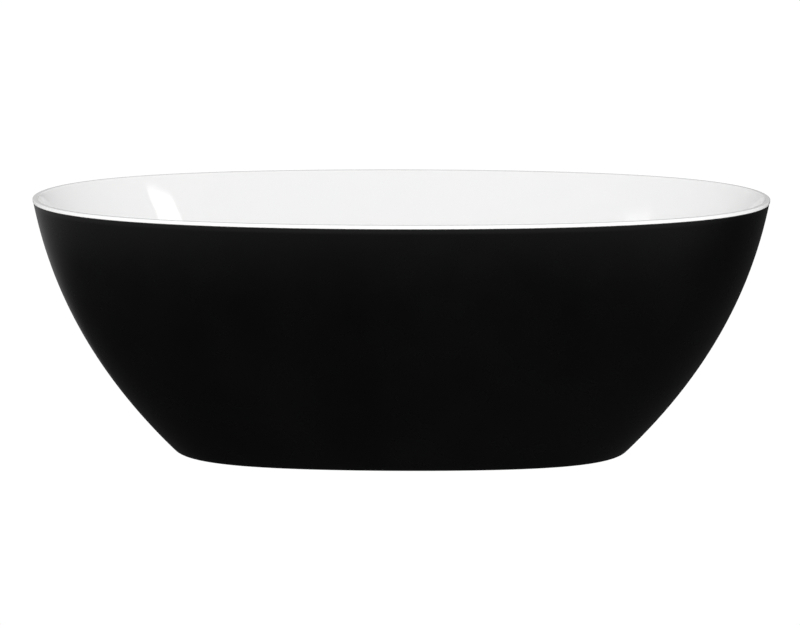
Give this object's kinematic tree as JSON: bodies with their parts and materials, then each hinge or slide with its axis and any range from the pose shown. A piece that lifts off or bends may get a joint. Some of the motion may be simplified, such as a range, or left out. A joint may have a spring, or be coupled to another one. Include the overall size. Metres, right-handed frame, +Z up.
{
  "type": "freestanding bathtub",
  "caption": "Freestanding oval bath: white acrylic basin in a flared black skirt, on a steel frame with levelling feet, with a click waste and an overflow.",
  "frame": {"origin": "on the floor under the middle of the bath", "axes": "+X along the bath, +Y towards its back, +Z up; the overflow is on the front wall, at -Y"},
  "size_m": [1.7, 0.82, 0.59],
  "materials": {
    "acrylic_white": "polished white acrylic",
    "acrylic_black": "satin black acrylic",
    "laminate": "rolled glass-fibre laminate",
    "plywood": "sanded plywood",
    "timber": "planed softwood",
    "frame_steel": "galvanised square tube",
    "zinc": "zinc-plated fasteners",
    "chrome": "polished chrome",
    "spring_steel": "drawn wire",
    "rubber": "moulded rubber",
    "sealant": "cured adhesive sealant",
    "plastic_white": "moulded polypropylene",
    "plastic_grey": "flexible corrugated hose",
    "plastic_black": "moulded nylon"
  },
  "bodies": {
    "tub": {"basin_shell": "acrylic_white", "basin_reinforcement": "laminate", "outer_skirt": "acrylic_black", "skirt_reinforcement": "laminate", "rim_seal": "sealant", "base_board": "plywood", "frame_rail_front": "frame_steel", "frame_rail_rear": "frame_steel", "cross_member_left": "frame_steel", "cross_member_right": "frame_steel", "tube_caps": "plastic_black", "frame_screws": "zinc", "frame_bolts": "zinc", "frame_nuts": "zinc", "skirt_blocks": "timber", "skirt_brackets": "zinc", "bracket_screws": "zinc", "foot_nuts": "zinc", "drain_flange": "chrome", "drain_seal": "rubber", "drain_gasket": "rubber", "waste_body": "plastic_white", "plug_cartridge": "plastic_white", "plug_spring": "spring_steel", "outlet_washer": "rubber", "outlet_nut": "plastic_white", "outlet_pipe": "plastic_white", "overflow_cover": "chrome", "overflow_screw": "zinc", "overflow_ring": "chrome", "overflow_gasket": "rubber", "overflow_body": "plastic_white", "overflow_hose": "plastic_grey", "hose_clips": "zinc"},
    "plug": {"drain_plug": "chrome", "plug_seal": "rubber"},
    "pad_1": {"foot_pad_1": "plastic_black"},
    "stem_1": {"foot_stem_1": "zinc"},
    "pad_2": {"foot_pad_2": "plastic_black"},
    "stem_2": {"foot_stem_2": "zinc"},
    "pad_3": {"foot_pad_3": "plastic_black"},
    "stem_3": {"foot_stem_3": "zinc"},
    "pad_4": {"foot_pad_4": "plastic_black"},
    "stem_4": {"foot_stem_4": "zinc"}
  },
  "joints": [
    {"name": "plug_slide", "type": "slide", "parent": "tub", "child": "plug", "axis": [0, 0, 1], "range_m": [-0.008, 0], "stiffness_N_per_m": 500, "springref_m": 0.006, "deforming": ["plug_spring"]},
    {"name": "foot_1_slide", "type": "slide", "parent": "tub", "child": "pad_1", "axis": [0, 0, -1], "range_m": [0, 0.014]},
    {"name": "foot_1_turn", "type": "hinge", "parent": "pad_1", "child": "stem_1", "pos_m": [-0.36, -0.15, 0.06], "axis": [0, 0, -1], "range_deg": [0, 2880]},
    {"name": "foot_2_slide", "type": "slide", "parent": "tub", "child": "pad_2", "axis": [0, 0, -1], "range_m": [0, 0.014]},
    {"name": "foot_2_turn", "type": "hinge", "parent": "pad_2", "child": "stem_2", "pos_m": [-0.36, 0.15, 0.06], "axis": [0, 0, -1], "range_deg": [0, 2880]},
    {"name": "foot_3_slide", "type": "slide", "parent": "tub", "child": "pad_3", "axis": [0, 0, -1], "range_m": [0, 0.014]},
    {"name": "foot_3_turn", "type": "hinge", "parent": "pad_3", "child": "stem_3", "pos_m": [0.36, -0.15, 0.06], "axis": [0, 0, -1], "range_deg": [0, 2880]},
    {"name": "foot_4_slide", "type": "slide", "parent": "tub", "child": "pad_4", "axis": [0, 0, -1], "range_m": [0, 0.014]},
    {"name": "foot_4_turn", "type": "hinge", "parent": "pad_4", "child": "stem_4", "pos_m": [0.36, 0.15, 0.06], "axis": [0, 0, -1], "range_deg": [0, 2880]}
  ],
  "couplings": [
    {"joint": "foot_1_turn", "follows": "foot_1_slide", "rad_per_m": 3590.4},
    {"joint": "foot_2_turn", "follows": "foot_2_slide", "rad_per_m": 3590.4},
    {"joint": "foot_3_turn", "follows": "foot_3_slide", "rad_per_m": 3590.4},
    {"joint": "foot_4_turn", "follows": "foot_4_slide", "rad_per_m": 3590.4}
  ]
}
